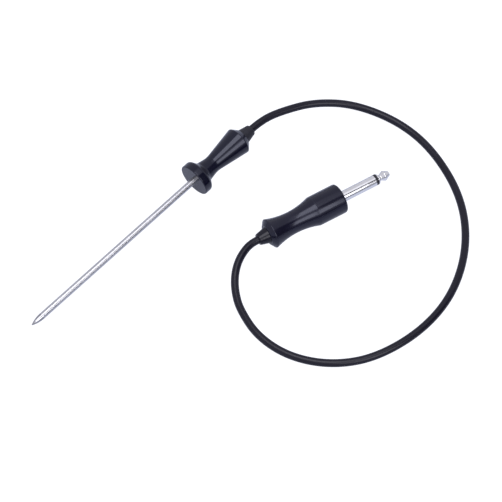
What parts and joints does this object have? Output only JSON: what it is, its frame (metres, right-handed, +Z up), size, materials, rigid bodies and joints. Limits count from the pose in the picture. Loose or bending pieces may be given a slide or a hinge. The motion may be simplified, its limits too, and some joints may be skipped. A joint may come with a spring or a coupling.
{
  "type": "penetration temperature probe",
  "caption": "Pointed stainless core-temperature spike in a turned black handle, on a short round lead that ends in a waisted plug handle with a 6.35 mm two-pole jack.",
  "frame": {"origin": "on the table, under the centre of the probe's box: spike, handle and boot, without the lead and plug", "axes": "+Z up, +X from the spike's point towards the handle, so the lead and the plug lie on the -Y side"},
  "size_m": [0.2399, 0.1649, 0.0204],
  "materials": {
    "stainless": "satin, drawn tube with fine lines along its length",
    "handle_black": "glossy black moulded plastic",
    "plug_black": "semi-gloss black moulded plastic",
    "boot_black": "dull black moulded rubber",
    "plug_boot_black": "semi-gloss black moulded PVC",
    "lead_jacket": "semi-matt black PVC jacket",
    "nickel_plate": "bright nickel plate",
    "insulator_black": "black insulating plastic",
    "brass": "turned or stamped brass",
    "copper": "bare copper",
    "solder": "smooth solder",
    "tin_plate": "tinned crimp",
    "core_red": "core insulation",
    "core_white": "core insulation",
    "ptfe_white": "PTFE sleeving",
    "shrink_black": "heat-shrink sleeving",
    "bead_glass": "glass bead",
    "potting_epoxy": "filled epoxy"
  },
  "bodies": {
    "root": {"spike_point": "stainless", "spike_tube": "stainless", "spike_collar": "brass", "thermistor_bead": "bead_glass", "bead_potting": "potting_epoxy", "sensor_wire_signal": "copper", "sensor_wire_return": "copper", "wire_sleeve_signal": "ptfe_white", "wire_sleeve_return": "ptfe_white", "splice_crimp_signal": "tin_plate", "splice_crimp_return": "tin_plate", "splice_sleeve_signal": "shrink_black", "splice_sleeve_return": "shrink_black", "probe_core_signal": "core_red", "probe_core_return": "core_white", "probe_conductor_signal": "copper", "probe_conductor_return": "copper", "cable_ferrule": "brass", "probe_cable_tail": "lead_jacket", "probe_handle": "handle_black", "probe_boot": "boot_black", "plug_shell": "plug_black", "plug_boot": "plug_boot_black", "plug_cable_tail": "lead_jacket", "plug_core_signal": "core_red", "plug_core_return": "core_white", "plug_conductor_signal": "copper", "plug_conductor_return": "copper", "solder_joint_signal": "solder", "solder_joint_return": "solder", "sleeve_terminal": "brass", "tip_terminal": "brass", "rear_insulator": "insulator_black", "front_insulator": "insulator_black", "jack_sleeve": "nickel_plate", "jack_tip": "nickel_plate", "cable": "lead_jacket"}
  },
  "joints": []
}
